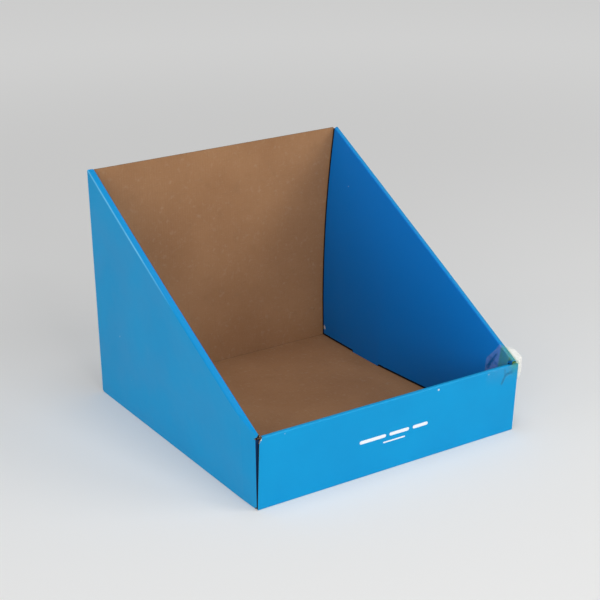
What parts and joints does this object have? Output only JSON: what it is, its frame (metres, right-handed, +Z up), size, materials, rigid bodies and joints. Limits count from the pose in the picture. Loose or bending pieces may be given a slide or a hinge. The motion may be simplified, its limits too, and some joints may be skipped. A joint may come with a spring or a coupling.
{
  "type": "counter display box",
  "caption": "Open-topped folded corrugated display box with a tall back, a low front, sloping double side walls and a clear film seal over one front corner.",
  "frame": {"origin": "centre of the floor's underside", "axes": "+Z up, the low front faces -Y and the tall back is at +Y, +X to the right seen from the front"},
  "size_m": [0.3536, 0.3614, 0.28],
  "materials": {
    "board": "blue satin print outside, bare brown kraft inside",
    "film": "clear, glossy and a little wrinkled"
  },
  "bodies": {
    "root": {"folded_tray": "board", "corner_seal": "film"}
  },
  "joints": []
}
